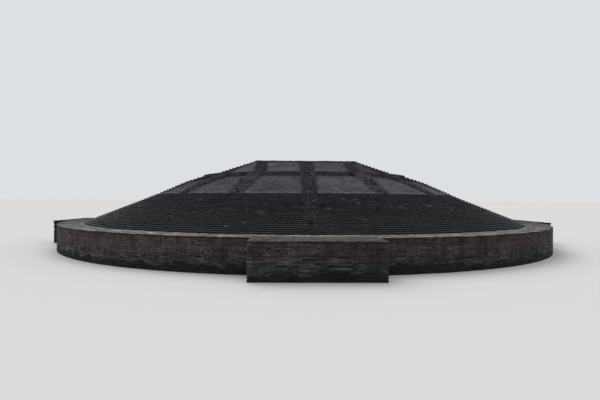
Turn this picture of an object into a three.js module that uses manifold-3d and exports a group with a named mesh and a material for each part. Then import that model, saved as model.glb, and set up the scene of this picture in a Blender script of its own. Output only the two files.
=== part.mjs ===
// A low brick stupa of the wheel-plan kind: a round drum with a path on top, four platforms on the
// axes, a thick outer wall stepped back course by course, and a dome of earth held between a ring
// wall, sixteen spoke walls and a grid of cross walls, levelled off at the summit.
// Millimetres, +Z up. The origin is on the ground at the centre, and the front platform faces -Y.
import * as THREE from "three";
import { mergeVertices } from "three/addons/utils/BufferGeometryUtils.js";
import Module from "manifold-3d";

const wasm = await Module();
wasm.setup();

// Driving dimensions
const DRUM_RADIUS = 18000;
const PATH_HEIGHT = 1680;
const PAVING_THICKNESS = 90;
const DOME_RADIUS = 16320;

const STEP_COUNT = 23;
const CROWN_RADIUS = 11380;
const CROWN_HEIGHT = 3740;

const RING_OUTER_RADIUS = 8100;
const RING_INNER_RADIUS = 7000;
const RING_HEIGHT = 5220;

const SPOKE_COUNT = 16;
const SPOKE_WIDTH = 920;
const SPOKE_FOOT_HEIGHT = 3800;
const SPOKE_HEAD_HEIGHT = 5150;
const LOWER_FILL_FOOT_HEIGHT = CROWN_HEIGHT;
const LOWER_FILL_SWELL_RADIUS = 9500;
const LOWER_FILL_SWELL_HEIGHT = 4510;
const LOWER_FILL_HEAD_HEIGHT = 4920;

const MIDDLE_WALL_WIDTH = 920;
const SIDE_WALL_WIDTH = 820;
const SIDE_WALL_OFFSET = 3200;
const SUMMIT_WIDTH = 7400;
const SUMMIT_HEIGHT = 6250;
const SUMMIT_THICKNESS = 100;
const CROSS_WALL_FOOT_HEIGHT = 5300;
const UPPER_FILL_FOOT_HEIGHT = 5200;

const PLATFORM_WIDTH = 5740;
const LONG_PLATFORM_FACE = 19600;
const SHORT_PLATFORM_FACE = 18900;
const COPING_OVERHANG = 30;

const BED_HEIGHT = 300;
const GAP = 0.3;
const FACETS = 80;

// Worked out from them
const DRUM_WALL_HEIGHT = PATH_HEIGHT - PAVING_THICKNESS;
const STEP_RISE = (CROWN_HEIGHT - PATH_HEIGHT) / STEP_COUNT;
const STEP_TREAD = (DOME_RADIUS - CROWN_RADIUS) / STEP_COUNT;
const SUMMIT_HALF = SUMMIT_WIDTH / 2;
const SUMMIT_BASE = SUMMIT_HEIGHT - SUMMIT_THICKNESS;
const FACET_ANGLE = (2 * Math.PI) / FACETS;
const FAR = 1.2 * LONG_PLATFORM_FACE;
const HIGH = 1.5 * SUMMIT_HEIGHT;

// A spoke beside an axis starts where a cross wall ends on the ring wall, so it leans a little from
// the radius through its foot. The other spokes point at the centre.
const SPOKE_PITCH = (2 * Math.PI) / SPOKE_COUNT;
const LEAN_START = Math.asin(SIDE_WALL_OFFSET / RING_INNER_RADIUS) - SPOKE_PITCH;
const SPOKE_LEAN = Math.atan2(
  RING_INNER_RADIUS * Math.sin(LEAN_START),
  CROWN_RADIUS - RING_INNER_RADIUS * Math.cos(LEAN_START),
);
const LEANS = [0, -SPOKE_LEAN, 0, SPOKE_LEAN];

const QUARTERS = ["front_right", "back_right", "back_left", "front_left"];
const SIDES = ["front", "right", "back", "left"];

const material = (color, roughness) =>
  new THREE.MeshStandardMaterial({ color, roughness, metalness: 0 });

const redBrick = material("#57403a", 0.95);
const darkBrick = material("#3a3334", 0.95);
const greyFill = material("#6a6566", 1);
const pathBrick = material("#857a74", 0.95);

// A closed three.js geometry as a solid that can be cut and joined.
function solidFrom(geometry) {
  const bare = geometry.clone();
  bare.deleteAttribute("normal");
  bare.deleteAttribute("uv");
  const merged = mergeVertices(bare, 0.01);
  return new wasm.Manifold(
    new wasm.Mesh({
      numProp: 3,
      vertProperties: new Float32Array(merged.attributes.position.array),
      triVerts: new Uint32Array(merged.index.array),
    }),
  );
}

function geometryFrom(solid) {
  const { vertProperties, triVerts } = solid.getMesh();
  const geometry = new THREE.BufferGeometry();
  geometry.setAttribute("position", new THREE.BufferAttribute(vertProperties, 3));
  geometry.setIndex(new THREE.BufferAttribute(triVerts, 1));
  geometry.computeVertexNormals();
  return geometry;
}

// A profile of [radius, height] points, anticlockwise and closed, turned about the vertical axis.
// The facets are centred on the four axes, so that a cut there never runs along an edge.
function turned(profile) {
  const points = [...profile, profile[0]].map(([r, z]) => new THREE.Vector2(r, z));
  const geometry = new THREE.LatheGeometry(points, FACETS);
  geometry.rotateX(Math.PI / 2);
  geometry.rotateZ(FACET_ANGLE / 2);
  return solidFrom(geometry);
}

const ringSolid = (inner, outer, low, high) =>
  turned([
    [inner, low],
    [outer, low],
    [outer, high],
    [inner, high],
  ]);

// An upright block between two corners.
function block(x0, x1, y0, y1, z0, z1) {
  const geometry = new THREE.BoxGeometry(x1 - x0, y1 - y0, z1 - z0);
  geometry.translate((x0 + x1) / 2, (y0 + y1) / 2, (z0 + z1) / 2);
  return solidFrom(geometry);
}

const disc = (radius) =>
  turned([
    [0, -HIGH],
    [radius, -HIGH],
    [radius, HIGH],
    [0, HIGH],
  ]);

const turnedBy = (solid, angle) => solid.rotate([0, 0, THREE.MathUtils.radToDeg(angle)]);

const joined = (solids) => solids.reduce((all, one) => all.add(one));

// The quarter of a solid that lies front right (0), back right (1), back left (2) or front left (3).
const QUARTER_BLOCK = block(GAP / 2, FAR, -FAR, -GAP / 2, -HIGH, HIGH);
const quarterOf = (solid, index) => solid.intersect(turnedBy(QUARTER_BLOCK, (index * Math.PI) / 2));

const stupa = new THREE.Group();

function addPiece(name, solid, surface, parent = stupa) {
  const mesh = new THREE.Mesh(geometryFrom(solid), surface);
  mesh.name = name;
  parent.add(mesh);
}

function addQuarters(name, solid, surface) {
  QUARTERS.forEach((quarter, i) => addPiece(`${name}_${quarter}`, quarterOf(solid, i), surface));
}

// The drum: a plain upright wall with the brick path laid on it.
function addDrum() {
  const inner = DOME_RADIUS + GAP;
  const wall = ringSolid(inner, DRUM_RADIUS, 0, DRUM_WALL_HEIGHT);
  const paving = ringSolid(inner, DRUM_RADIUS, DRUM_WALL_HEIGHT + GAP, PATH_HEIGHT);
  addQuarters("drum_wall", wall, redBrick);
  addPiece("path_paving", paving, pathBrick);
}

// A platform stands against the drum on each axis, level with the path, under a coping course. The front
// and back ones reach out further than the ones at the sides.
function addPlatforms() {
  const drum = disc(DRUM_RADIUS + GAP);
  const half = PLATFORM_WIDTH / 2;
  const copingHalf = half + COPING_OVERHANG;
  const back = -0.9 * DRUM_RADIUS;
  const copingBase = DRUM_WALL_HEIGHT + GAP;
  SIDES.forEach((side, i) => {
    const face = i % 2 === 0 ? LONG_PLATFORM_FACE : SHORT_PLATFORM_FACE;
    const copingFace = face + COPING_OVERHANG;
    const body = block(-half, half, -face, back, 0, DRUM_WALL_HEIGHT).subtract(drum);
    const coping = block(-copingHalf, copingHalf, -copingFace, back, copingBase, PATH_HEIGHT).subtract(drum);
    const group = new THREE.Group();
    group.rotation.z = (i * Math.PI) / 2;
    addPiece(`platform_${side}`, body, redBrick, group);
    addPiece(`platform_coping_${side}`, coping, pathBrick, group);
    stupa.add(group);
  });
}

// The thick outer wall of the dome: upright inside, stepped back one course at a time outside.
function addOuterWall() {
  const profile = [
    [CROWN_RADIUS, 0],
    [DOME_RADIUS, 0],
  ];
  for (let step = 0; step < STEP_COUNT; step += 1) {
    const radius = DOME_RADIUS - step * STEP_TREAD;
    const top = PATH_HEIGHT + (step + 1) * STEP_RISE;
    profile.push([radius, top], [radius - STEP_TREAD, top]);
  }
  addQuarters("outer_wall", turned(profile), darkBrick);
}

// A solid turned about the foot of the front spoke.
const leaned = (solid, lean) =>
  turnedBy(solid.translate([0, CROWN_RADIUS, 0]), lean).translate([0, -CROWN_RADIUS, 0]);

// Spoke walls run from the ring wall out to the outer wall, and stand proud of the earth between.
// The earth swells a little halfway up.
function addLowerTier() {
  const inner = RING_OUTER_RADIUS + GAP;
  const outer = CROWN_RADIUS - GAP;
  const slope = (SPOKE_HEAD_HEIGHT - SPOKE_FOOT_HEIGHT) / (CROWN_RADIUS - RING_OUTER_RADIUS);
  const reach = 300;
  const side = new THREE.Shape([
    new THREE.Vector2(RING_OUTER_RADIUS - reach, BED_HEIGHT + GAP),
    new THREE.Vector2(CROWN_RADIUS + reach, BED_HEIGHT + GAP),
    new THREE.Vector2(CROWN_RADIUS + reach, SPOKE_FOOT_HEIGHT - reach * slope),
    new THREE.Vector2(RING_OUTER_RADIUS - reach, SPOKE_HEAD_HEIGHT + reach * slope),
  ]);
  const slab = new THREE.ExtrudeGeometry(side, { depth: SPOKE_WIDTH, bevelEnabled: false });
  slab.translate(0, 0, -SPOKE_WIDTH / 2);
  slab.rotateX(Math.PI / 2);
  slab.rotateZ(-Math.PI / 2);
  const wall = solidFrom(slab);
  const between = ringSolid(inner, outer, -HIGH, HIGH);

  const half = SPOKE_WIDTH / 2 + GAP;
  const slot = block(-half, half, -FAR, 0, BED_HEIGHT, HIGH);
  const slots = [];
  for (let i = 0; i < SPOKE_COUNT; i += 1) {
    const lean = LEANS[i % LEANS.length];
    const group = new THREE.Group();
    group.rotation.z = i * SPOKE_PITCH;
    const spoke = leaned(wall, lean).intersect(between);
    addPiece(`spoke_wall_${String(i + 1).padStart(2, "0")}`, spoke, darkBrick, group);
    stupa.add(group);
    slots.push(turnedBy(leaned(slot, lean), i * SPOKE_PITCH));
  }
  const fill = turned([
    [inner, 0],
    [outer, 0],
    [outer, LOWER_FILL_FOOT_HEIGHT],
    [LOWER_FILL_SWELL_RADIUS, LOWER_FILL_SWELL_HEIGHT],
    [inner, LOWER_FILL_HEAD_HEIGHT],
  ]);
  addQuarters("lower_fill", fill.subtract(joined(slots)), greyFill);
}

// Round at the ring wall and square at the summit: a turned cone whose upper edge is moved out to
// the square, with straight lines down to the ring.
function squareToRound(footHeight, headHeight) {
  const rim = RING_INNER_RADIUS + 100;
  const points = [
    [0, 0],
    [rim, 0],
    [rim, footHeight],
    [SUMMIT_HALF, headHeight],
    [0, headHeight],
  ].map(([r, z]) => new THREE.Vector2(r, z));
  const geometry = new THREE.LatheGeometry(points, FACETS);
  geometry.rotateX(Math.PI / 2);
  const place = geometry.attributes.position;
  for (let i = 0; i < place.count; i += 1) {
    const x = place.getX(i);
    const y = place.getY(i);
    const radius = Math.hypot(x, y);
    if (radius < 1) continue;
    const edge = (SUMMIT_HALF * radius) / Math.max(Math.abs(x), Math.abs(y));
    const slope = (headHeight - footHeight) / (RING_INNER_RADIUS - edge);
    if (Math.abs(place.getZ(i) - headHeight) < 1) {
      place.setXYZ(i, (x * edge) / radius, (y * edge) / radius, headHeight);
    } else if (place.getZ(i) > 1) {
      place.setZ(i, footHeight - (rim - RING_INNER_RADIUS) * slope);
    }
  }
  return solidFrom(geometry).intersect(disc(RING_INNER_RADIUS - GAP));
}

// The hub inside the ring wall: three walls each way, crossing, with earth packed in the cells.
function addUpperTier() {
  addPiece("ring_wall", ringSolid(RING_INNER_RADIUS, RING_OUTER_RADIUS, 0, RING_HEIGHT), darkBrick);

  const lines = [
    [-SIDE_WALL_OFFSET, SIDE_WALL_WIDTH],
    [0, MIDDLE_WALL_WIDTH],
    [SIDE_WALL_OFFSET, SIDE_WALL_WIDTH],
  ];
  const grid = (clearance) =>
    joined(
      lines.flatMap(([middle, width]) => {
        const low = middle - width / 2 - clearance;
        const high = middle + width / 2 + clearance;
        const base = BED_HEIGHT + GAP - clearance;
        return [block(low, high, -FAR, FAR, base, HIGH), block(-FAR, FAR, low, high, base, HIGH)];
      }),
    );
  const half = SUMMIT_HALF + GAP;
  const summitSpace = block(-half, half, -half, half, SUMMIT_BASE - GAP, HIGH);
  const walls = squareToRound(CROSS_WALL_FOOT_HEIGHT, SUMMIT_HEIGHT).intersect(grid(0)).subtract(summitSpace);
  const fill = squareToRound(UPPER_FILL_FOOT_HEIGHT, SUMMIT_BASE).subtract(grid(GAP)).subtract(summitSpace);
  addPiece("cross_walls", walls, darkBrick);
  addQuarters("upper_fill", fill, greyFill);

  const edge = SUMMIT_HALF;
  addPiece("summit_paving", block(-edge, edge, -edge, edge, SUMMIT_BASE, SUMMIT_HEIGHT), darkBrick);
}

addDrum();
addPlatforms();
addOuterWall();
addLowerTier();
addUpperTier();

export default stupa;
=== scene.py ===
import math

import bpy
import numpy as np
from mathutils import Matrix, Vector


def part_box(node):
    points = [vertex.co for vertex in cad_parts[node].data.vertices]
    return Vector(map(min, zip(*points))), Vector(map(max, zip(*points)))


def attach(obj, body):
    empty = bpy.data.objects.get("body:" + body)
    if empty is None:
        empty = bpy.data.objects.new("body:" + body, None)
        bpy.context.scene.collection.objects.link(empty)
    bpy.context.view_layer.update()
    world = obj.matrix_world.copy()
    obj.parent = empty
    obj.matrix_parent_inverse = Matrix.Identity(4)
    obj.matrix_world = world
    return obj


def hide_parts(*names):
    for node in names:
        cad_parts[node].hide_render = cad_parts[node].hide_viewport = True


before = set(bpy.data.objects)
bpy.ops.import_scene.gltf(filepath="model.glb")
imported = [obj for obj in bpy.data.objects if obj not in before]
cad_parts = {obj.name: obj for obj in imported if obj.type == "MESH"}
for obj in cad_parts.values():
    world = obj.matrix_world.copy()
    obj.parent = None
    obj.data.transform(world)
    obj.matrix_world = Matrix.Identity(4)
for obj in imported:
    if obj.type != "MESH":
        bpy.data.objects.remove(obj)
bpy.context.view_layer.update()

# A low brick stupa. Every course is laid brick by brick over a core of mud mortar, and the earth between
# the walls is a rough packed surface. Everything is in metres, the centre is at the origin, and the front
# platform looks along -Y.


def top_of(node):
    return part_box(node)[1].z


# Sizes that the frame gives, and the radii and wall widths that its boxes can't show
PATH_TOP = top_of("path_paving")
DRUM_TOP = top_of("drum_wall_front_left")
CROWN_TOP = top_of("outer_wall_front_left")
SPOKE_TOP = top_of("spoke_wall_01")
RING_TOP = top_of("ring_wall")
SUMMIT_TOP = top_of("summit_paving")
SUMMIT_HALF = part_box("summit_paving")[1].x
SUMMIT_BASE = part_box("summit_paving")[0].z
BED_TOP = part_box("spoke_wall_01")[0].z
PLATFORM_FACES = {
    "front": -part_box("platform_front")[0].y,
    "right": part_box("platform_right")[1].x,
    "back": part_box("platform_back")[1].y,
    "left": -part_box("platform_left")[0].x,
}
PLATFORM_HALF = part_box("platform_front")[1].x
COPING_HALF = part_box("platform_coping_front")[1].x
COPING_OVERHANG = COPING_HALF - PLATFORM_HALF
DRUM_RADIUS = 18.0
DOME_RADIUS = 16.32
CROWN_RADIUS = 11.38
RING_OUTER = 8.1
RING_INNER = 7.0
STEP_COUNT = 23
SPOKE_COUNT = 16
SPOKE_PITCH = 2 * math.pi / SPOKE_COUNT
SPOKE_WIDTH = 0.92
SPOKE_FOOT = 3.80
SPOKE_PROUD = 0.14
SWELL_RADIUS = 9.5
SWELL_TOP = 4.51
LOWER_FILL_HEAD = 4.92
MIDDLE_WALL_WIDTH = 0.92
SIDE_WALL_WIDTH = 0.82
SIDE_WALL_OFFSET = 3.2
CROSS_WALL_FOOT = 5.3
UPPER_FILL_FOOT = 5.2

# How far the spokes run into the ring wall, the cross walls into it and under the summit, and the bricks of
# a step under the next one
RING_LAP = 0.15
FOOT_LAP = 0.05
SUMMIT_LAP = 0.1
STEP_LAP = 0.04

# The spokes on either side of an axis lean so that their heads meet the ends of the side walls
HEAD_SHIFT = math.asin(SIDE_WALL_OFFSET / RING_INNER) - SPOKE_PITCH
LEAN = math.atan2(RING_INNER * math.sin(HEAD_SHIFT), CROWN_RADIUS - RING_INNER * math.cos(HEAD_SHIFT))
LEANS = [0.0, -LEAN, 0.0, LEAN]

# The brick: large, flat and handmade, laid as stretchers and headers with open mud joints
STRETCHER = 0.46
HEADER = 0.25
BRICK_DEPTH = 0.24
BRICK_HEIGHT = 0.08
COURSE = 0.09
JOINT = 0.012
WALL_COURSES = 18
WALL_COURSE = DRUM_TOP / WALL_COURSES
OPEN_JOINT_COURSES = (3, 6, 8, 11, 14, 15)
OPEN_JOINT = 0.012
RIB_SIDE_DEPTH = 0.14

# How far a course wanders in and out: on ribs and the ring, on the steps, and where bricks are laid flat
RIB_WAVE = 0.014
STEP_WAVE = 0.008
FLAT_WAVE = 0.004

# The mortar core stays back behind the bricks, and neighbouring cores lap so that nothing shows between them
CORE_SETBACK = 0.05
STEP_SETBACK = 0.03
STEP_DROP = 0.014
RIB_SETBACK = 0.04
RIB_DROP = 0.02
SLAB_DROP = 0.03
WALL_DROP = 0.005
BED_SINK = 0.01
LAP = 0.02
PLATFORM_LAP = 0.25

# Seeds of the random draws, counted up where a piece repeats. The last one shades the fields of earth
SEEDS = {
    "drum": 100, "path": 200, "platform": 300, "coping": 330, "steps": 400, "spoke": 500, "ring": 600,
    "cross": 700, "summit": 710, "bats": 800, "fields": 1279,
}

# Facets in a quarter of the drum, path or steps, in a quarter of the ring, and in a field of earth
DRUM_FACETS = 40
RING_FACETS = 30
FIELD_FACETS = 48

QUARTERS = ["front_right", "back_right", "back_left", "front_left"]
SIDES = ["front", "right", "back", "left"]
QUARTER_TURN = math.pi / 2
FULL_TURN = 2 * math.pi
X_WAY, Y_WAY, UP = np.eye(3)
FLOOR_RADIUS = 3000

# Camera

LENS_MM = 28.0
SENSOR_MM = 36.0
CAMERA_DISTANCE = 38.33
CAMERA_HEIGHT = 3.326
CAMERA_AZIMUTH = math.radians(1.69)
CAMERA_TURN = math.radians(0.49)
CAMERA_ROLL = math.radians(0.32)


def add_camera():
    """A level camera in front of the stupa, a little left of the platform's centre line."""
    back = Vector((-math.sin(CAMERA_AZIMUTH), -math.cos(CAMERA_AZIMUTH), 0))
    bpy.ops.object.camera_add(location=back * CAMERA_DISTANCE + Vector((0, 0, CAMERA_HEIGHT)))
    camera = bpy.context.object
    camera.name = "front_camera"
    camera.data.lens = LENS_MM
    camera.data.sensor_width = SENSOR_MM
    camera.data.clip_end = 2 * FLOOR_RADIUS
    camera.rotation_euler = (math.pi / 2, 0, CAMERA_TURN - CAMERA_AZIMUTH)
    camera.rotation_euler.rotate_axis("Z", CAMERA_ROLL)
    bpy.context.scene.camera = camera


# Finishes

MULTIPLY = {"data_type": "RGBA", "blend_type": "MULTIPLY"}
COLOUR = {"data_type": "RGBA"}
SMOOTH = {"interpolation_type": "SMOOTHSTEP"}


def srgb(text):
    """A #rrggbb colour as linear RGBA."""
    parts = [int(text[i : i + 2], 16) / 255 for i in (1, 3, 5)]
    linear = [c / 12.92 if c <= 0.04045 else ((c + 0.055) / 1.055) ** 2.4 for c in parts]
    return (*linear, 1.0)


def add_node(tree, kind, settings=None, output=None, **inputs):
    """Adds a shader node with its settings and links. Gives the named output, or else the first."""
    node = tree.nodes.new("ShaderNode" + kind)
    for key, value in (settings or {}).items():
        setattr(node, key, value)
    for key, value in inputs.items():
        label = key.replace("_", " ")
        sockets = [s for s in node.inputs if s.enabled]
        socket = next(s for s in sockets if label in (s.name, s.identifier.replace("_", " ")))
        if isinstance(value, bpy.types.NodeSocket):
            tree.links.new(value, socket)
        else:
            socket.default_value = value
    outputs = [s for s in node.outputs if s.enabled]
    return next((s for s in outputs if s.name == output), outputs[0] if outputs else None)


def new_finish(name):
    material = bpy.data.materials.new(name)
    material.use_nodes = True
    material.node_tree.nodes.clear()
    return material, material.node_tree


def brick_finish(name, face_hexes, top_hexes, old_hexes, fresh_hex, streaks, stains=1.0, damp_hex=None):
    """Handmade fired clay brick, centuries old: open and matt. Its upright faces and its tops take colours of
    their own, partly algae on the faces and dust or a dry crust on top, partly painted shade on dark upright
    faces and painted light on pale tops. Each list of three runs from the darkest brick to the palest,
    old_hexes are the eroded bricks, and fresh_hex is a newly broken one. The attributes tone and age pick
    among them."""
    material, tree = new_finish(name)
    place = add_node(tree, "TexCoord", output="Object")
    tone = add_node(tree, "Attribute", {"attribute_name": "tone"}, "Fac")
    age = add_node(tree, "Attribute", {"attribute_name": "age"}, "Fac")
    normal = add_node(tree, "NewGeometry", output="True Normal")
    facing_up = add_node(tree, "SeparateXYZ", output="Z", Vector=normal)
    height = add_node(tree, "SeparateXYZ", output="Z", Vector=place)

    darker = add_node(tree, "MapRange", SMOOTH, Value=tone, From_Max=0.5)
    paler = add_node(tree, "MapRange", SMOOTH, Value=tone, From_Min=0.5, From_Max=0.9)
    fresh = add_node(tree, "MapRange", Value=tone, From_Min=0.94, From_Max=0.98)
    rows = []
    for hexes in (face_hexes, top_hexes, old_hexes):
        row = add_node(tree, "Mix", COLOUR, Factor=darker, A=srgb(hexes[0]), B=srgb(hexes[1]))
        rows.append(add_node(tree, "Mix", COLOUR, Factor=paler, A=row, B=srgb(hexes[2])))
    face, top, old = rows
    aged = add_node(tree, "MapRange", SMOOTH, Value=age, From_Min=0.2, From_Max=0.8)
    face = add_node(tree, "Mix", COLOUR, Factor=aged, A=face, B=old)
    face = add_node(tree, "Mix", COLOUR, Factor=fresh, A=face, B=srgb(fresh_hex))

    # Rain runs down the faces in soft streaks about 0.4 m wide and longer than the drum is high
    drawn_out = add_node(tree, "Mapping", Vector=place, Scale=(1.0, 1.0, 0.12))
    streak = add_node(tree, "TexNoise", Vector=drawn_out, Scale=2.4, Detail=3.0, Roughness=0.6)
    shade = add_node(
        tree, "MapRange", SMOOTH, Value=streak, From_Min=0.4, From_Max=0.68, To_Min=1.15, To_Max=0.5
    )
    face = add_node(tree, "Mix", MULTIPLY, Factor=streaks, A=face, B=shade)
    if damp_hex:
        # The lowest 0.4 m stay wet and carry a green black film. Its upper edge is uneven, and the shift
        # brings its highest waves to the right half of the front platform
        shifted = add_node(tree, "Mapping", Vector=place, Location=(5.6, -15.7, 7.7))
        edge = add_node(tree, "TexNoise", Vector=shifted, Scale=0.9, Detail=5.0)
        edge = add_node(
            tree, "Math", {"operation": "MULTIPLY_ADD"}, Value=edge, Value_001=1.2, Value_002=height
        )
        damp = add_node(tree, "MapRange", SMOOTH, Value=edge, From_Min=1.02, From_Max=0.9)
        face = add_node(tree, "Mix", COLOUR, Factor=damp, A=face, B=srgb(damp_hex))

    # Tops and upright faces get colours of their own: partly dust and algae, partly painted light on the tops
    # and painted shade on the upright faces
    level = add_node(tree, "MapRange", SMOOTH, Value=facing_up, From_Min=0.6, From_Max=0.95)
    colour = add_node(tree, "Mix", COLOUR, Factor=level, A=face, B=top)
    # Weather stains about 1 m, patina about 0.2 m and burnt grit about 15 mm, each as a shade of the brick
    heights = []
    for per_metre, low, high, pale, dark in (
        (0.9, 0.33, 0.7, 1.2, 0.72),
        (5.5, 0.3, 0.7, 1.2, 0.72),
        (60.0, 0.25, 0.75, 1.22, 0.78),
    ):
        stain = add_node(tree, "TexNoise", Vector=place, Scale=per_metre, Detail=4.0, Roughness=0.65)
        heights.append(stain)
        shade = add_node(
            tree, "MapRange", SMOOTH, Value=stain, From_Min=low, From_Max=high, To_Min=pale, To_Max=dark
        )
        colour = add_node(tree, "Mix", MULTIPLY, Factor=stains, A=colour, B=shade)
    roughness = add_node(
        tree, "MapRange", Value=heights[1], From_Min=0.2, From_Max=0.8, To_Min=0.82, To_Max=0.98
    )
    relief = add_node(tree, "Bump", Height=heights[1], Distance=0.012, Strength=0.7)
    relief = add_node(tree, "Bump", Height=heights[2], Distance=0.004, Strength=0.6, Normal=relief)
    surface = add_node(
        tree, "BsdfPrincipled", Base_Color=colour, Roughness=roughness, Specular_IOR_Level=0.25, Normal=relief
    )
    add_node(tree, "OutputMaterial", Surface=surface)
    return material


def mortar_finish():
    """Mud mortar, pressed between the bricks and washed back: dark and crumbly, with grit about 5 mm
    across."""
    material, tree = new_finish("mud_mortar_washed_back")
    place = add_node(tree, "TexCoord", output="Object")
    lump = add_node(tree, "TexNoise", Vector=place, Scale=12.0, Detail=5.0, Roughness=0.7)
    share = add_node(tree, "MapRange", SMOOTH, Value=lump, From_Min=0.3, From_Max=0.7)
    colour = add_node(tree, "Mix", COLOUR, Factor=share, A=srgb("#161515"), B=srgb("#2b2828"))
    grit = add_node(tree, "TexNoise", Vector=place, Scale=200.0, Roughness=0.6)
    relief = add_node(tree, "Bump", Height=lump, Distance=0.015, Strength=0.8)
    relief = add_node(tree, "Bump", Height=grit, Distance=0.003, Strength=0.6, Normal=relief)
    surface = add_node(
        tree, "BsdfPrincipled", Base_Color=colour, Roughness=0.96, Specular_IOR_Level=0.2, Normal=relief
    )
    add_node(tree, "OutputMaterial", Surface=surface)
    return material


def packed_earth_finish():
    """Rammed earth and brick chips held between the walls and capped by a washed crust: matt grey mauve with
    dark patches of lichen, hair cracks and chips about 40 mm across. The attribute tone shades one field
    against the next, and rim is the pale lip along the crown of the outer wall."""
    material, tree = new_finish("rammed_earth_with_crust")
    place = add_node(tree, "TexCoord", output="Object")
    tone = add_node(tree, "Attribute", {"attribute_name": "tone"}, "Fac")
    rim = add_node(tree, "Attribute", {"attribute_name": "rim"}, "Fac")
    cloud = add_node(tree, "TexNoise", Vector=place, Scale=0.7, Detail=4.0, Roughness=0.6)
    share = add_node(tree, "MapRange", SMOOTH, Value=cloud, From_Min=0.35, From_Max=0.65)
    colour = add_node(tree, "Mix", COLOUR, Factor=share, A=srgb("#404146"), B=srgb("#535458"))
    field = add_node(tree, "MapRange", Value=tone, To_Min=0.55, To_Max=1.35)
    colour = add_node(tree, "Mix", MULTIPLY, Factor=1.0, A=colour, B=field)
    lichen = add_node(tree, "TexNoise", Vector=place, Scale=2.6, Detail=6.0, Roughness=0.68)
    shade = add_node(
        tree, "MapRange", SMOOTH, Value=lichen, From_Min=0.4, From_Max=0.66, To_Min=1.12, To_Max=0.66
    )
    colour = add_node(tree, "Mix", MULTIPLY, Factor=1.0, A=colour, B=shade)
    # Cracks wander and fade out. Real ones are about 8 mm wide, drawn here at about 20 mm so that they show
    bend = add_node(tree, "TexNoise", output="Color", Vector=place, Scale=1.6, Detail=5.0, Roughness=0.6)
    bent = add_node(
        tree, "VectorMath", {"operation": "MULTIPLY_ADD"},
        Vector=bend, Vector_001=(1.1, 1.1, 1.1), Vector_002=place,
    )
    edge = add_node(tree, "TexVoronoi", {"feature": "DISTANCE_TO_EDGE"}, Vector=bent, Scale=0.6)
    crack = add_node(tree, "MapRange", SMOOTH, Value=edge, From_Min=0.002, From_Max=0.012, To_Min=0.5)
    shown = add_node(tree, "MapRange", SMOOTH, Value=cloud, From_Min=0.45, From_Max=0.6)
    colour = add_node(tree, "Mix", MULTIPLY, Factor=shown, A=colour, B=crack)
    chip_tone = add_node(tree, "TexVoronoi", output="Color", Vector=place, Scale=24.0)
    chip = add_node(tree, "SeparateXYZ", output="X", Vector=chip_tone)
    pale_chip = add_node(tree, "MapRange", SMOOTH, Value=chip, From_Min=0.72, From_Max=0.95, To_Max=0.4)
    colour = add_node(tree, "Mix", COLOUR, Factor=pale_chip, A=colour, B=srgb("#736d70"))
    worn_lip = add_node(
        tree, "MapRange", SMOOTH, Value=lichen, From_Min=0.35, From_Max=0.6, To_Min=1.0, To_Max=0.2
    )
    lip = add_node(tree, "Math", {"operation": "MULTIPLY"}, Value=rim, Value_001=worn_lip)
    colour = add_node(tree, "Mix", COLOUR, Factor=lip, A=colour, B=srgb("#6b6a6e"))
    grain = add_node(tree, "TexNoise", Vector=place, Scale=70.0, Detail=4.0, Roughness=0.7)
    shade = add_node(tree, "MapRange", Value=grain, From_Min=0.25, From_Max=0.75, To_Min=1.2, To_Max=0.8)
    colour = add_node(tree, "Mix", MULTIPLY, Factor=1.0, A=colour, B=shade)
    relief = add_node(tree, "Bump", Height=lichen, Distance=0.02, Strength=0.6)
    relief = add_node(tree, "Bump", Height=crack, Distance=0.01, Strength=0.3, Normal=relief)
    relief = add_node(tree, "Bump", Height=grain, Distance=0.004, Strength=0.6, Normal=relief)
    surface = add_node(
        tree, "BsdfPrincipled", Base_Color=colour, Roughness=0.98, Specular_IOR_Level=0.05, Normal=relief
    )
    add_node(tree, "OutputMaterial", Surface=surface)
    return material


# Modelling by hand

def only(*pieces):
    """Nothing else stays selected, and the first piece is the active one."""
    bpy.ops.object.select_all(action="DESELECT")
    for piece in pieces:
        piece.select_set(True)
    bpy.context.view_layer.objects.active = pieces[0]


def switch_to(mode):
    bpy.ops.object.mode_set(mode=mode)


def select_mesh(action="SELECT"):
    bpy.ops.mesh.select_all(action=action)


def stand_in(piece, node, masonry):
    """A finished piece takes the place of a CAD node. Its name says for which, and what it is made of."""
    piece.name = piece.data.name = node + masonry
    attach(piece, "root")
    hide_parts(node)


def polar(angle):
    """Outward and sideways unit vectors at an angle about the centre, 0 towards -Y, turning towards +X."""
    angle = np.asarray(angle, float)
    out = np.stack([np.sin(angle), -np.cos(angle), 0 * angle], axis=-1)
    side = np.stack([np.cos(angle), np.sin(angle), 0 * angle], axis=-1)
    return out, side


def trace_face(points):
    """A flat face drawn corner by corner, in edit mode and all selected."""
    bpy.ops.object.select_all(action="DESELECT")
    bpy.ops.mesh.primitive_plane_add(size=0.01)
    switch_to("EDIT")
    bpy.ops.mesh.select_mode(type="VERT")
    bpy.ops.mesh.merge(type="CENTER")
    bpy.ops.transform.translate(value=tuple(points[0]))
    for step in np.diff(points, axis=0):
        bpy.ops.mesh.extrude_vertices_move(TRANSFORM_OT_translate={"value": tuple(step)})
    select_mesh()
    bpy.ops.mesh.edge_face_add()
    return bpy.context.object


def close_solid():
    """Turns every face outwards and leaves edit mode."""
    select_mesh()
    bpy.ops.mesh.normals_make_consistent(inside=False)
    switch_to("OBJECT")


def spun_solid(profile, start, facets, sweep=QUARTER_TURN):
    """A closed profile of (radius, height) spun about the centre from a start angle."""
    out, _ = polar(start)
    solid = trace_face([out * radius + UP * height for radius, height in profile])
    bpy.ops.mesh.spin(steps=facets, angle=-sweep, center=(0, 0, 0), axis=(0, 0, 1))
    close_solid()
    return solid


def section(inner, outer, low, high):
    return [(inner, low), (outer, low), (outer, high), (inner, high)]


def spun_ring(profile, facets):
    """A whole ring in four quarters that meet."""
    return [spun_solid(profile, quarter * QUARTER_TURN, facets) for quarter in range(4)]


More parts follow.
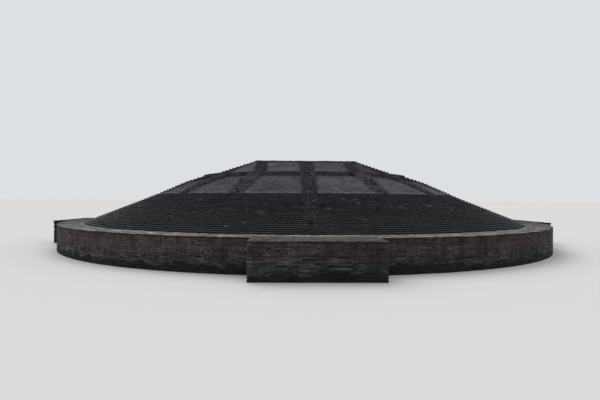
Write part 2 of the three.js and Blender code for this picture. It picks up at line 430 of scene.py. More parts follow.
def drawn_solid(outline, shift):
    """A traced outline drawn out along a shift."""
    solid = trace_face(outline)
    bpy.ops.mesh.extrude_region_move(TRANSFORM_OT_translate={"value": tuple(shift)})
    close_solid()
    return solid


def mark(mesh, **marks):
    """Gives every corner of a mesh its values of the attributes that the finishes read."""
    for label, values in marks.items():
        layer = mesh.attributes.new(label, "FLOAT", "POINT")
        layer.data.foreach_set("value", values.astype(np.float32))


def model_brick(arris, break_at=None, break_way=None):
    """A brick with its outer face at y = 0 and its arrises rubbed off there. One end may be broken away.
    Gives its corners as shares of length, depth and height, and its faces."""
    size = (STRETCHER, BRICK_DEPTH, BRICK_HEIGHT)
    bpy.ops.object.select_all(action="DESELECT")
    bpy.ops.mesh.primitive_cube_add(size=1, location=(0, size[1] / 2, size[2] / 2), scale=size)
    brick = bpy.context.object
    bpy.ops.object.transform_apply(location=True, rotation=False, scale=True)
    switch_to("EDIT")
    bpy.ops.mesh.select_mode(type="EDGE")
    select_mesh("DESELECT")
    switch_to("OBJECT")
    for edge in brick.data.edges:
        edge.select = all(abs(brick.data.vertices[i].co.y) < 1e-4 for i in edge.vertices)
    switch_to("EDIT")
    bpy.ops.mesh.bevel(offset=arris, segments=1)
    if break_at:
        select_mesh()
        bpy.ops.mesh.bisect(plane_co=break_at, plane_no=break_way, use_fill=True, clear_outer=True)
    close_solid()
    corners = np.array([v.co for v in brick.data.vertices]) / size
    faces = [list(p.vertices) for p in brick.data.polygons]
    bpy.data.objects.remove(brick)
    return corners, faces


# Bricklaying

# Tones run from 0 to this, and past it lies only the tone of a newly broken brick
PALEST = 0.93
FRESH = 1.0


class Bricks:
    """The bricks of one piece, laid one course after another and made into one mesh at the end."""

    def __init__(self, seed):
        self.rng = np.random.default_rng(seed)
        self.rows = []

    def lay(self, origin, along, inward, up, look):
        """Bricks by the middle of their lower outer edge, their three edge vectors and look."""
        count = len(origin)
        stays = self.rng.random(count) >= look["gone"]
        row = (origin, along, inward, up, look["tone"], look["age"], look["worn"], look["kind"])
        self.rows.append([np.broadcast_to(column, (count, *np.shape(column)[1:]))[stays] for column in row])

    def turn(self, angle):
        """Turns all bricks laid so far about the centre."""
        out, side = polar(angle)
        matrix = np.array([side, -out, UP])
        for row in self.rows:
            row[:4] = [vectors @ matrix for vectors in row[:4]]

    def piece(self, material):
        columns = [np.concatenate(column) for column in zip(*self.rows)]
        origin, along, inward, up, tone, age, worn, kind = columns
        hand = np.sign(np.einsum("ij,ij->i", np.cross(along, inward), up))
        along = along * hand[:, None]
        laid, first = [], 0
        for number, (shares, faces) in enumerate(BRICK_KINDS):
            chosen = kind == number
            count, corners = chosen.sum(), len(shares)
            u, v, w = (shares[None, :, i, None] for i in range(3))
            place = u * along[chosen, None] + v * inward[chosen, None] + w * up[chosen, None]
            place += origin[chosen, None]
            place += self.rng.normal(0, 1, place.shape) * worn[chosen, None, None]
            place[..., 2] = np.maximum(place[..., 2], 0)
            laid.append((
                place.reshape(-1, 3),
                (np.concatenate(faces) + first + corners * np.arange(count)[:, None]).ravel(),
                np.tile([len(face) for face in faces], count),
                np.repeat(tone[chosen], corners),
                np.repeat(age[chosen], corners),
            ))
            first += count * corners
        points, loops, sizes, tones, ages = (np.concatenate(column) for column in zip(*laid))
        mesh = bpy.data.meshes.new("bricks")
        mesh.vertices.add(len(points))
        mesh.vertices.foreach_set("co", points.ravel())
        mesh.loops.add(len(loops))
        mesh.loops.foreach_set("vertex_index", loops)
        mesh.polygons.add(len(sizes))
        mesh.polygons.foreach_set("loop_start", np.concatenate([[0], np.cumsum(sizes)[:-1]]))
        mesh.polygons.foreach_set("loop_total", sizes)
        mesh.update(calc_edges=True)
        mark(mesh, tone=tones, age=ages)
        piece = bpy.data.objects.new("bricks", mesh)
        bpy.context.scene.collection.objects.link(piece)
        mesh.materials.append(material)
        return piece


def look_of(
    rng, count, tone=0.5, spread=0.18, age=0.0, fresh=0.0, setback=0.006, worn=0.004, gone=0.0, broken=0.06
):
    """How a row of bricks looks: shade, age, newly broken ones, how far back they sit, wear and gaps."""
    tones = np.clip(rng.normal(tone, spread, count), 0, PALEST)
    tones[rng.random(count) < fresh] = FRESH
    kinds = np.where(rng.random(count) < broken, rng.integers(1, len(BRICK_KINDS), count), 0)
    return {
        "tone": tones,
        "age": np.zeros(count) + age,
        "setback": np.abs(rng.normal(0, 1, count)) * setback,
        "worn": np.zeros(count) + worn,
        "gone": gone,
        "kind": kinds,
    }


def course(length, rng, headers):
    """Middles and lengths of bricks that fill a course of this length, joints left open."""
    sizes = []
    while sum(sizes) < length:
        sizes.append((HEADER if rng.random() < headers else STRETCHER) + JOINT)
    sizes = np.array(sizes) * length / sum(sizes)
    return np.cumsum(sizes) - sizes / 2, sizes - JOINT


def wander(position, rng, reach, waves=(7.0, 2.9, 1.3)):
    """A slow unevenness along a course, from a few sine waves of those lengths in metres."""
    total = sum(np.sin(FULL_TURN * (position / wave + rng.random())) for wave in waves)
    return reach * total / len(waves)


def lay_course(bricks, line, length, height, depth, look, headers=0.5, wave=0.01, radii=(0, math.inf)):
    """One course. The line gives each brick's place on the outer face and its along, inward and up ways, and
    look gives its look there. Bricks whose middle lies off this range of radii are left out. The course
    rises and falls by up to 3 mm, and the bricks differ by about 2 mm in height."""
    rng = bricks.rng
    middles, lengths = course(length, rng, headers)
    point, along, inward, up = (np.broadcast_to(v, (len(middles), 3)) for v in line(middles))
    at = look(middles, point, rng)
    back = at["setback"] + wave * 0.5 + wander(middles, rng, wave * 0.5)
    origin = point + inward * back[:, None] + up * wander(middles, rng, 0.003)[:, None]
    tall = height - JOINT + rng.normal(0, 0.002, len(middles))
    vectors = [origin, along * lengths[:, None], inward * depth, up * tall[:, None]]
    reach = np.hypot(*(origin + (inward * depth + vectors[3]) / 2)[:, :2].T)
    kept = (reach > radii[0]) & (reach < radii[1])
    at = {key: value[kept] if np.ndim(value) else value for key, value in at.items()}
    bricks.lay(*(v[kept] for v in vectors), at)


def arc(radius, level, start=0.0, flat=False):
    """A course on a curved wall with its foot at this level, or a ring of paving with its top there."""
    def line(middles):
        out, side = polar(start + middles / radius)
        inward, up = (-UP, -out) if flat else (-out, UP)
        return out * radius + UP * level, side, inward, up
    return line


def straight(corner, direction, inward, up=UP):
    """A straight course from a corner."""
    def line(middles):
        return corner + direction * middles[:, None], direction, inward, up
    return line


def join_piece(brickwork, cores, node):
    """Bricks and the mortar behind them become one piece."""
    for core in cores:
        core.data.materials.append(MORTAR)
    only(brickwork, *cores)
    bpy.ops.object.join()
    bpy.ops.object.shade_smooth_by_angle(angle=math.radians(30))
    stand_in(brickwork, node, "_brickwork")


def round_face(radius, corners):
    """A flat round face on the ground, about the centre."""
    bpy.ops.object.select_all(action="DESELECT")
    bpy.ops.mesh.primitive_circle_add(vertices=corners, radius=radius, fill_type="NGON", location=(0, 0, 0))
    return bpy.context.object


def turn_solid(solid, angle):
    only(solid)
    switch_to("EDIT")
    select_mesh()
    bpy.ops.transform.rotate(value=-angle, orient_axis="Z", center_override=(0, 0, 0))
    switch_to("OBJECT")


def block(low, high):
    """A block between two corners, drawn up from its plan."""
    plan = [(low[0], low[1]), (high[0], low[1]), (high[0], high[1]), (low[0], high[1])]
    return drawn_solid([(x, y, low[2]) for x, y in plan], (0, 0, high[2] - low[2]))


# The drum, its path and the platforms

# Heights in metres where the repaired red courses begin, and where the damp ones end
DRUM_RED_FROM = 0.7
PLATFORM_RED_FROM = 0.9
DAMP_TOP = 0.3


def wall_look(middles, point, rng, red_from, tone):
    """Repaired red courses on top, old grey and eroded ones below them, and the lowest damp. The borders
    between them run unevenly along the wall."""
    low = point[:, 2]
    unevenness = 0.04 * np.sin(middles / 0.3) - 0.12 * np.cos(middles / 0.91)
    red = low > red_from + unevenness + rng.normal(0, 0.06, len(middles))
    damp = low < DAMP_TOP + 0.1 * np.cos(middles / 0.9)

    def pick(sound, old, wet):
        return np.where(red, sound, np.where(damp, wet, old))

    look = look_of(
        rng, len(middles), tone=np.maximum(tone + wander(middles, rng, 0.1), 0.1),
        spread=pick(0.15, 0.22, 0.15), fresh=0.01,
        age=pick(0.05, 0.95, 0.75), worn=pick(0.003, 0.006, 0.005),
    )
    look["setback"] *= pick(1.0, 3.0, 2.0)
    look["gone"] = pick(0.0, 0.045, 0.01)
    return look


def drum_look(middles, point, rng):
    """The drum carries painted shade just under the path's edge, is palest a little below it, and is paler on
    the left.
    """
    depth = 1 - point[:, 2] / DRUM_TOP
    # The lower tone at the top of the drum is painted shade under the path's edge
    tone = np.interp(depth, (0, 0.3, 0.6), (0.55, 0.79, 0.5)) - 0.15 * np.tanh(point[:, 0] / 5)
    return wall_look(middles, point, rng, DRUM_RED_FROM, tone)


def platform_look(middles, point, rng):
    """A platform darkens downwards, most of all towards its right end."""
    across, depth = point[:, 0], 1 - point[:, 2] / DRUM_TOP
    tone = 0.66 - 0.35 * depth - 0.045 * (across + 4 * np.maximum(across, 0) * depth)
    return wall_look(middles, point, rng, PLATFORM_RED_FROM, tone)


def wall_height(number):
    """Height of a wall course. The courses with open joints are thinner than the rest."""
    return WALL_COURSE - OPEN_JOINT if number in OPEN_JOINT_COURSES else WALL_COURSE


def add_drum_walls():
    for index, quarter in enumerate(QUARTERS):
        start, length = index * QUARTER_TURN, DRUM_RADIUS * QUARTER_TURN
        bricks = Bricks(SEEDS["drum"] + index)
        for number in range(WALL_COURSES):
            line = arc(DRUM_RADIUS, number * WALL_COURSE, start)
            lay_course(bricks, line, length, wall_height(number), BRICK_DEPTH, drum_look)
        profile = section(DOME_RADIUS, DRUM_RADIUS - CORE_SETBACK, 0, DRUM_TOP - WALL_DROP)
        core = spun_solid(profile, start, DRUM_FACETS)
        join_piece(bricks.piece(WALL_BRICK), [core], "drum_wall_" + quarter)


def path_look(middles, point, rng):
    """Pale in front and behind, duller at the sides and by the platforms' corners, and darkest in the 0.8 m
    along the platforms."""
    trodden = np.abs(point[:, 1]) / DRUM_RADIUS
    across = np.min(np.abs(point[:, :2]), axis=1)
    by_corner = np.exp(-(((across - 4.5) / 2.5) ** 2))
    dark = (across < PLATFORM_HALF) & (np.hypot(point[:, 0], point[:, 1]) > DRUM_RADIUS - 0.8)
    look = look_of(rng, len(middles), setback=0.004)
    look["tone"] += (0.62 - 0.22 * by_corner) * trodden - 0.42 - 0.6 * dark
    look["tone"] = np.clip(look["tone"], 0, PALEST)
    return look


def add_path():
    """An edge course of headers along the drum, then rings of flat bricks up to the dome."""
    bricks = Bricks(SEEDS["path"])
    edge_width, bedding = 0.4, 0.004
    thickness = PATH_TOP - DRUM_TOP - bedding
    inner_edge = DRUM_RADIUS - edge_width
    count = round((inner_edge - DOME_RADIUS) / (HEADER + JOINT))
    pitch = (inner_edge - DOME_RADIUS) / count
    rings = [(DRUM_RADIUS, edge_width, 1.0)] + [(inner_edge - i * pitch, pitch, 0.15) for i in range(count)]
    for radius, width, headers in rings:
        line = arc(radius, PATH_TOP, flat=True)
        lay_course(bricks, line, radius * FULL_TURN, width, thickness, path_look, headers, wave=FLAT_WAVE)
    drop = 0.018
    profile = section(DOME_RADIUS - LAP, DRUM_RADIUS - CORE_SETBACK, DRUM_TOP - BED_SINK, PATH_TOP - drop)
    cores = spun_ring(profile, DRUM_FACETS)
    join_piece(bricks.piece(PATH_BRICK), cores, "path_paving")


def coping_look(middles, point, rng):
    return look_of(rng, len(middles), spread=0.22, setback=0.005, worn=0.005)


def pave(bricks, corner, length, width, level, thickness, look, headers, radii=(0, math.inf)):
    """Bricks laid flat in rows of broken bond, their upper face at this level."""
    rows = max(1, round(width / (HEADER + JOINT)))
    pitch = width / rows
    for row in range(rows):
        start = corner + Y_WAY * (row * pitch + JOINT / 2) + UP * level
        line = straight(start, X_WAY, -UP, Y_WAY)
        lay_course(bricks, line, length, pitch, thickness, look, headers, wave=FLAT_WAVE, radii=radii)


def add_platforms():
    """The front and back platforms reach out further than the ones at the sides. Their side courses run on
    to the drum's core."""
    meets_drum = DRUM_RADIUS * math.cos(math.asin(PLATFORM_HALF / DRUM_RADIUS))
    for index, side in enumerate(SIDES):
        face = PLATFORM_FACES[side]
        reach = face - meets_drum + CORE_SETBACK
        bricks, coping = Bricks(SEEDS["platform"] + index), Bricks(SEEDS["coping"] + index)
        for number in range(WALL_COURSES):
            low, height = number * WALL_COURSE, wall_height(number)
            tuck = BRICK_DEPTH + JOINT if number % 2 else 0.0
            corner = np.array([-PLATFORM_HALF + tuck, -face, low])
            line = straight(corner, X_WAY, Y_WAY)
            lay_course(bricks, line, 2 * (PLATFORM_HALF - tuck), height, BRICK_DEPTH, platform_look)
            tuck = BRICK_DEPTH + JOINT - tuck
            for hand in (-1, 1):
                line = straight(np.array([hand * PLATFORM_HALF, -face + tuck, low]), Y_WAY, -hand * X_WAY)
                lay_course(bricks, line, reach - tuck, height, BRICK_DEPTH, platform_look)
        core = block(
            (-PLATFORM_HALF + CORE_SETBACK, -face + CORE_SETBACK, 0),
            (PLATFORM_HALF - CORE_SETBACK, -DRUM_RADIUS + PLATFORM_LAP, DRUM_TOP - WALL_DROP),
        )
        coping_face = face + COPING_OVERHANG
        corner = np.array([-PLATFORM_HALF, -coping_face, 0])
        bedding, inset, drop = 0.002, 0.06, 0.02
        pave(
            coping, corner, 2 * PLATFORM_HALF, coping_face - meets_drum + LAP, PATH_TOP,
            PATH_TOP - DRUM_TOP - bedding, coping_look, headers=0.4, radii=(DRUM_RADIUS, math.inf),
        )
        bed = block(
            (-COPING_HALF + inset, -coping_face + inset, DRUM_TOP - BED_SINK),
            (COPING_HALF - inset, -DRUM_RADIUS + PLATFORM_LAP, PATH_TOP - drop),
        )
        for laid, solid in ((bricks, core), (coping, bed)):
            laid.turn(index * QUARTER_TURN)
            turn_solid(solid, index * QUARTER_TURN)
        join_piece(bricks.piece(WALL_BRICK), [core], "platform_" + side)
        join_piece(coping.piece(COPING_BRICK), [bed], "platform_coping_" + side)


# The stepped outer wall

# Patches of the steps where feet and falling bricks have knocked the edges off. Each is an angle from the
# front in degrees and a height, and they are repeated at the back
WORN_PATCHES = [
    (-47, 2.65), (-32, 2.35), (-28, 2.65), (-23, 2.6), (-13, 2.2), (-11, 2.65),
    (10, 2.35), (12, 3.2), (23, 2.9), (27, 2.55), (32, 2.95),
]
PATCH_HALF_WIDTH = 0.2
PATCH_HALF_HEIGHT = 0.1


def in_worn_patch(point):
    """Which places lie in a worn patch, at the front or at the back."""
    hit = np.zeros(len(point), bool)
    for degrees, height in WORN_PATCHES:
        out, side = polar(math.radians(degrees))
        near = (np.abs(point @ side) < PATCH_HALF_WIDTH) & (np.abs(point @ out) > 1)
        hit |= near & (np.abs(point[:, 2] - height) < PATCH_HALF_HEIGHT)
    return hit


def step_look(middles, point, rng):
    """Even dark bricks, a little paler towards the crown. Below each spoke on an axis a strip is slightly
    worn by climbing, and in the patches the edges are knocked off."""
    across = np.min(np.abs(point[:, :2]), axis=1)
    climbed = across < SPOKE_WIDTH / 2
    knocked = in_worn_patch(point)

    def pick(sound, worn):
        return np.where(climbed, worn, sound)

    tone = 0.24 + 0.62 * (point[:, 2] - PATH_TOP) / (CROWN_TOP - PATH_TOP)
    tone += wander(middles, rng, 0.16, waves=(13.0, 5.5))
    look = look_of(
        rng, len(middles), tone=tone + pick(0.0, 0.08), spread=0.02, fresh=0.003, age=pick(0.0, 0.3),
        setback=0.003, worn=pick(0.002, 0.006), broken=pick(0.01, 0.15),
    )
    look["setback"] *= pick(1.0, 2.5)
    look["gone"] = pick(0.002, 0.015)
    for key, value in (("age", 0.62), ("worn", 0.012), ("gone", 0.07), ("setback", 0.02)):
        look[key] = np.where(knocked, value, look[key])
    return look


def add_outer_walls():
    rise = (CROWN_TOP - PATH_TOP) / STEP_COUNT
    tread = (DOME_RADIUS - CROWN_RADIUS) / STEP_COUNT
    for index, quarter in enumerate(QUARTERS):
        start = index * QUARTER_TURN
        bricks = Bricks(SEEDS["steps"] + index)
        profile = [(CROWN_RADIUS - LAP, 0), (DOME_RADIUS - STEP_SETBACK, 0)]
        for step in range(STEP_COUNT):
            radius, low = DOME_RADIUS - step * tread, PATH_TOP + step * rise
            line = arc(radius, low, start)
            lay_course(
                bricks, line, radius * QUARTER_TURN, rise + JOINT / 2, tread + STEP_LAP, step_look,
                headers=0.85, wave=STEP_WAVE,
            )
            top, edge = low + rise - STEP_DROP, radius - STEP_SETBACK
            profile += [(edge, top), (edge - tread, top)]
        profile[-1] = (CROWN_RADIUS - LAP, profile[-1][1])
        core = spun_solid(profile, start, DRUM_FACETS)
        join_piece(bricks.piece(STEP_BRICK), [core], "outer_wall_" + quarter)


# The dome: spokes, ring, cross walls and the earth between

# The two spokes beside the front one have weathered most
RUINED_SPOKES = (2, 16)


def rib_look(middles, point, rng):
    return look_of(
        rng, len(middles), spread=0.16, fresh=0.015, setback=0.008, worn=0.006, gone=0.012, broken=0.2
    )


def ruined_rib_look(middles, point, rng):
    """Pale, ragged and full of broken bricks."""
    return look_of(
        rng, len(middles), tone=0.85, spread=0.25, fresh=0.02, setback=0.014, worn=0.01, gone=0.005,
        broken=0.4,
    )


def add_rib(bricks, cores, base, out, side, slope, width, radii=(0, math.inf), look=rib_look):
    """A wall that climbs towards the centre in steps of one course. Its frame starts at the point base and
    runs outwards and sideways, and the slope gives its reach and height from the foot up to the head."""
    reaches, heights = zip(*slope)
    near, far, low, high = reaches[-1], reaches[0], heights[0], heights[-1]
    count = round((high - low) / COURSE)
    rise = (high - low) / count
    steps = np.interp(low + rise * np.arange(count + 1), heights, reaches)
    outline = [(near, BED_TOP), (far - STEP_SETBACK, BED_TOP)]
    end_headers, side_headers = 0.8, 0.7
    for step in range(count):
        reach, tread, foot = steps[step], steps[step] - steps[step + 1], low + (step - 0.5) * rise
        faces = [(base + out * reach - side * width / 2, side, -out, width, 2 * tread, end_headers)]
        for hand in (-1, 1):
            corner = base + out * near + side * hand * width / 2
            faces.append((corner, out, -hand * side, reach - near, RIB_SIDE_DEPTH, side_headers))
        for corner, along, inward, length, depth, headers in faces:
            line = straight(corner + UP * foot, along, inward)
            lay_course(bricks, line, length, rise + JOINT / 2, depth, look, headers, RIB_WAVE, radii)
        top, edge = foot + rise - RIB_DROP, reach - RIB_SETBACK
        outline += [(edge, top), (edge - tread, top)]
    outline[-1] = (near, outline[-1][1])
    start = base - side * (width / 2 - RIB_SETBACK)
    profile = [start + out * reach + UP * z for reach, z in outline]
    cores.append(drawn_solid(profile, side * (width - 2 * RIB_SETBACK)))


def add_spokes():
    """The spokes swell halfway up with the earth between them."""
    slope = [
        (CROWN_RADIUS, SPOKE_FOOT),
        (SWELL_RADIUS, SWELL_TOP + SPOKE_PROUD),
        (RING_OUTER - RING_LAP, SPOKE_TOP),
    ]
    for number in range(SPOKE_COUNT):
        bricks, cores = Bricks(SEEDS["spoke"] + number), []
        angle = number * SPOKE_PITCH
        out, side = polar(angle + LEANS[number % 4])
        base = polar(angle)[0] * CROWN_RADIUS - out * CROWN_RADIUS
        look = ruined_rib_look if number + 1 in RUINED_SPOKES else rib_look
        add_rib(bricks, cores, base, out, side, slope, SPOKE_WIDTH, look=look)
        join_piece(bricks.piece(RIB_BRICK), cores, f"spoke_wall_{number + 1:02d}")


def add_ring_wall():
    """Four courses show on the outer face, and four rings of flat bricks on top, set 20 mm back from it."""
    bricks = Bricks(SEEDS["ring"])
    courses, rings = 4, 4
    for number in range(courses):
        line = arc(RING_OUTER, RING_TOP - (courses - number) * COURSE)
        lay_course(
            bricks, line, RING_OUTER * FULL_TURN, COURSE, BRICK_DEPTH, rib_look, headers=0.6, wave=RIB_WAVE
        )
    pitch, thickness = (RING_OUTER - RING_INNER) / rings, 0.07
    for ring in range(rings):
        radius = RING_OUTER - ring * pitch - 0.02
        line = arc(radius, RING_TOP, flat=True)
        lay_course(bricks, line, radius * FULL_TURN, pitch, thickness, rib_look, headers=0.7, wave=FLAT_WAVE)
    profile = section(RING_INNER, RING_OUTER - CORE_SETBACK, 0, RING_TOP - SLAB_DROP)
    cores = spun_ring(profile, RING_FACETS)
    join_piece(bricks.piece(RIB_BRICK), cores, "ring_wall")


def add_cross_walls():
    """Three walls each way. They climb from the ring to the summit and cross underneath it."""
    bricks, cores = Bricks(SEEDS["cross"]), []
    for quarter in range(4):
        out, side = polar(quarter * QUARTER_TURN)
        for hand, width in ((-1, SIDE_WALL_WIDTH), (0, MIDDLE_WALL_WIDTH), (1, SIDE_WALL_WIDTH)):
            middle = hand * SIDE_WALL_OFFSET
            far = math.sqrt(RING_INNER**2 - max(abs(middle) - width / 2, 0) ** 2) + FOOT_LAP
            slope = [(far, CROSS_WALL_FOOT), (SUMMIT_HALF - SUMMIT_LAP, SUMMIT_TOP)]
            add_rib(bricks, cores, side * middle, out, side, slope, width, radii=(0, RING_INNER + RING_LAP))
            if quarter < 2:
                start = side * (middle - width / 2 + RIB_SETBACK) - out * SUMMIT_HALF + UP * BED_TOP
                plan = [start, start + side * (width - 2 * RIB_SETBACK)]
                plan += [corner + out * 2 * SUMMIT_HALF for corner in plan[::-1]]
                cores.append(drawn_solid(plan, UP * (SUMMIT_BASE - BED_SINK - BED_TOP)))
    join_piece(bricks.piece(RIB_BRICK), cores, "cross_walls")


def add_summit():
    bricks = Bricks(SEEDS["summit"])
    corner = np.array([-SUMMIT_HALF, -SUMMIT_HALF, 0])
    size = 2 * SUMMIT_HALF
    pave(bricks, corner, size, size, SUMMIT_TOP, SUMMIT_TOP - SUMMIT_BASE, rib_look, headers=0.3)
    half = SUMMIT_HALF - CORE_SETBACK
    bed = block((-half, -half, SUMMIT_BASE), (half, half, SUMMIT_TOP - SLAB_DROP))
    join_piece(bricks.piece(RIB_BRICK), [bed], "summit_paving")


def roughen(sheet, above, reach):
    """Small hollows and lumps on the upper side of packed earth, above a given height."""
    surface = sheet.vertex_groups.new(name="surface")
    surface.add([v.index for v in sheet.data.vertices if v.co.z > above], 1.0, "REPLACE")
    lumps = bpy.data.textures.new("lumps", "CLOUDS")
    lumps.noise_scale = 0.55
    lumps.noise_depth = 5
    push = sheet.modifiers.new("lumps", "DISPLACE")
    push.texture = lumps
    push.direction = "Z"
    push.vertex_group = "surface"
    push.strength = reach
    only(sheet)
    bpy.ops.object.modifier_apply(modifier="lumps")
    bpy.ops.object.shade_smooth_by_angle(angle=math.radians(50))
    sheet.vertex_groups.clear()


LIP_WIDTH = 0.2
LIP_FADE = 0.08


def mark_fill(sheet, tone, right_tone=None):
    """Shades a field, with another shade right of the side wall, and marks the pale lip along the crown."""
    places = np.array([corner.co for corner in sheet.data.vertices])
    radius = np.hypot(*places[:, :2].T)
    tones = np.full(len(radius), tone)
    if right_tone is not None:
        tones[places[:, 0] > SIDE_WALL_OFFSET] = right_tone
    rim = np.clip((radius - CROWN_RADIUS + LIP_WIDTH) / LIP_FADE, 0, 1)
    mark(sheet.data, tone=tones, rim=rim)


def join_fill(sheets, node):
    """Fields of earth, and the broken bricks in them if there are any, become one piece."""
    for sheet in sheets:
        if not sheet.data.materials:
            sheet.data.materials.append(EARTH)
    only(*sheets)
    if len(sheets) > 1:
        bpy.ops.object.join()
    stand_in(sheets[0], node, "_earth")


def select_from(piece, level):
    """Selects all corners of a piece from a height upwards, in edit mode."""
    hair = 0.001
    select_mesh("DESELECT")
    switch_to("OBJECT")
    for corner in piece.data.vertices:
        corner.select = corner.co.z > level - hair
    switch_to("EDIT")


def earth_level(radius):
    """The earth rises from the outer wall's crown, swells and flattens to the ring."""
    inwards = (-CROWN_RADIUS, -SWELL_RADIUS, -RING_OUTER)
    return np.interp(-radius, inwards, (CROWN_TOP, SWELL_TOP, LOWER_FILL_HEAD))


# Lengths, depths and heights that the broken bricks range over
BAT_SIZES = [(0.06, 0.2), (0.06, 0.13), (0.05, 0.08)]


def scatter_bats(bricks, start, count=26):
    """Broken bricks lie half sunk in the earth between two spokes, turned any way."""
    rng = bricks.rng
    radius = rng.uniform(RING_OUTER + 0.15, CROWN_RADIUS - 0.3, count)
    clear = 0.2
    margin = (SPOKE_WIDTH / 2 + clear) / radius
    out, side = polar(start + rng.uniform(margin, SPOKE_PITCH - margin))
    ahead = 0.1
    downhill = out + UP * ((earth_level(radius + ahead) - earth_level(radius)) / ahead)[:, None]
    downhill /= np.linalg.norm(downhill, axis=1)[:, None]
    normal = np.cross(downhill, side)
    turn = rng.uniform(0, FULL_TURN, count)[:, None]
    along = np.cos(turn) * side + np.sin(turn) * downhill
    inward = np.cos(turn) * downhill - np.sin(turn) * side
    length, depth, height = (rng.uniform(least, most, count)[:, None] for least, most in BAT_SIZES)
    sunk = 0.6 * height
    middle = out * radius[:, None] + UP * earth_level(radius)[:, None] - normal * sunk
    look = look_of(rng, count, tone=0.85, spread=0.2, fresh=0.06, worn=0.008, broken=0.7)
    bricks.lay(middle - inward * depth / 2, along * length, inward * depth, normal * height, look)


def add_lower_fill():
    """Four fields of earth in each quarter, with broken bricks in them."""
    rng = np.random.default_rng(SEEDS["fields"])
    inner, spacing = RING_OUTER - 0.06, 0.075
    radii = np.linspace(CROWN_RADIUS, inner, round((CROWN_RADIUS - inner) / spacing))
    profile = [(inner, 0), (CROWN_RADIUS, 0), *zip(radii, earth_level(radii))]
    for index, quarter in enumerate(QUARTERS):
        sheets, bats = [], Bricks(SEEDS["bats"] + index)
        for number in range(index * 4, index * 4 + 4):
            sheet = spun_solid(profile, number * SPOKE_PITCH, FIELD_FACETS, sweep=SPOKE_PITCH)
            roughen(sheet, above=CROWN_TOP - 0.1, reach=0.07)
            mark_fill(sheet, tone=rng.uniform(0.25, 0.75))
            sheets.append(sheet)
            scatter_bats(bats, number * SPOKE_PITCH)
        sheets.append(bats.piece(RIB_BRICK))
        join_fill(sheets, "lower_fill_" + quarter)


def add_upper_fill():
    """The earth inside the ring stands on the ground as a round block. Its rim is bridged up to the square
    summit, and the whole is cut into quarters along the middle walls."""
    bays, rows, inset = 24, 36, 0.03
    whole = round_face(RING_INNER + LAP, corners=4 * bays)
    switch_to("EDIT")
    bpy.ops.mesh.select_mode(type="VERT")
    select_mesh()
    bpy.ops.mesh.extrude_region_move(TRANSFORM_OT_translate={"value": (0, 0, UPPER_FILL_FOOT)})
    bpy.ops.mesh.delete(type="ONLY_FACE")
    bpy.ops.mesh.primitive_plane_add(size=2 * (SUMMIT_HALF - inset), location=(0, 0, SUMMIT_BASE))
    bpy.ops.mesh.delete(type="ONLY_FACE")
    bpy.ops.mesh.subdivide(number_cuts=bays - 1)
    select_from(whole, UPPER_FILL_FOOT)
    bpy.ops.mesh.bridge_edge_loops(number_cuts=rows, interpolation="LINEAR")
    select_from(whole, SUMMIT_BASE)
    bpy.ops.mesh.edge_face_add()
    close_solid()
    roughen(whole, above=UPPER_FILL_FOOT - 0.02, reach=0.05)
    mark_fill(whole, tone=0.5, right_tone=0.0)
    for index, quarter in enumerate(QUARTERS):
        only(whole)
        bpy.ops.object.duplicate()
        sheet = bpy.context.object
        switch_to("EDIT")
        for corner, hand in ((index, 1), (index + 1, -1)):
            inwards = hand * polar(corner * QUARTER_TURN)[1]
            select_mesh()
            bpy.ops.mesh.bisect(plane_co=(0, 0, 0), plane_no=tuple(inwards), use_fill=True, clear_inner=True)
        close_solid()
        join_fill([sheet], "upper_fill_" + quarter)
    bpy.data.objects.remove(whole)


# Stage and light

def add_stage():
    """A plain pale floor out to the horizon, pale air, and one broad soft light from high behind, on the
    left."""
    floor = round_face(FLOOR_RADIUS, corners=64)
    floor.name = "floor"
    pale, tree = new_finish("pale_floor")
    surface = add_node(
        tree, "BsdfPrincipled", Base_Color=srgb("#d9d8d4"), Roughness=1.0, Specular_IOR_Level=0.0
    )
    add_node(tree, "OutputMaterial", Surface=surface)
    floor.data.materials.append(pale)

    world = bpy.data.worlds.new("studio")
    bpy.context.scene.world = world
    world.use_nodes = True
    air = world.node_tree.nodes["Background"]
    air.inputs["Color"].default_value = srgb("#eef1f4")
    air.inputs["Strength"].default_value = 0.85

    bpy.ops.object.light_add(type="SUN", rotation=(math.radians(-38), 0, math.radians(28)))
    lamp = bpy.context.object
    lamp.name = "soft_key"
    lamp.data.energy = 1.2
    lamp.data.angle = math.radians(50)
    bpy.context.scene.view_settings.view_transform = "Standard"


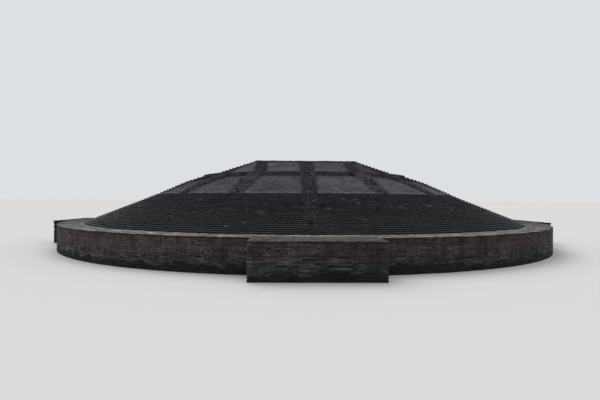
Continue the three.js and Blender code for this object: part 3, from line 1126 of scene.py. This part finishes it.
# A sound brick, a rounded one, and two with an end broken away
BRICK_KINDS = [
    model_brick(arris=0.009),
    model_brick(arris=0.024),
    model_brick(arris=0.012, break_at=(0.13, 0.0, 0.04), break_way=(0.9, -0.35, 0.2)),
    model_brick(arris=0.012, break_at=(-0.12, 0.0, 0.03), break_way=(-0.85, -0.45, 0.3)),
]

# Dull red brown, grey where it is old, and black green where it stays wet
WALL_BRICK = brick_finish(
    "fired_brick_red_repaired",
    ["#302728", "#3f3232", "#504544"],
    ["#4a4542", "#5d5854", "#716c67"],
    ["#2b2a2b", "#3e3d3f", "#575657"],
    "#4b3c3b",
    streaks=0.75,
    damp_hex="#181d1b",
)
# Nearly black with a cold cast, a little paler on the treads, partly dust and partly painted light
STEP_BRICK = brick_finish(
    "fired_brick_black_with_algae",
    ["#1e1f22", "#26282c", "#323439"],
    ["#3d3d3f", "#4e4e50", "#616163"],
    ["#353438", "#4b494c", "#656265"],
    "#575557",
    streaks=0.2,
    stains=0.3,
)
# Dark mauve grey, blotched
RIB_BRICK = brick_finish(
    "fired_brick_weathered_mauve",
    ["#353439", "#46454b", "#57565c"],
    ["#302f32", "#3f3d41", "#504e52"],
    ["#353438", "#4b494c", "#656265"],
    "#524a4c",
    streaks=0.3,
    stains=0.7,
)
# Bleached pale grey on top; the upright edge dark brown, partly algae and soot, partly painted shade
PATH_BRICK = brick_finish(
    "fired_brick_bleached_paving",
    ["#221c1b", "#2c2524", "#3a3230"],
    ["#4b4745", "#6e6a68", "#94908e"],
    ["#403b39", "#524d4a", "#66615e"],
    "#84716a",
    streaks=0.5,
)
# Dusty grey brown on top, darker than the path, over the same dark edge of algae, soot and painted shade
COPING_BRICK = brick_finish(
    "fired_brick_dusty_coping",
    ["#1f1919", "#292221", "#362d2c"],
    ["#3b3736", "#4a4544", "#595453"],
    ["#3a3533", "#4b4644", "#5f5a57"],
    "#6b5852",
    streaks=0.4,
)
MORTAR = mortar_finish()
EARTH = packed_earth_finish()

add_camera()
add_drum_walls()
add_path()
add_platforms()
add_outer_walls()
add_spokes()
add_ring_wall()
add_cross_walls()
add_summit()
add_lower_fill()
add_upper_fill()
add_stage()
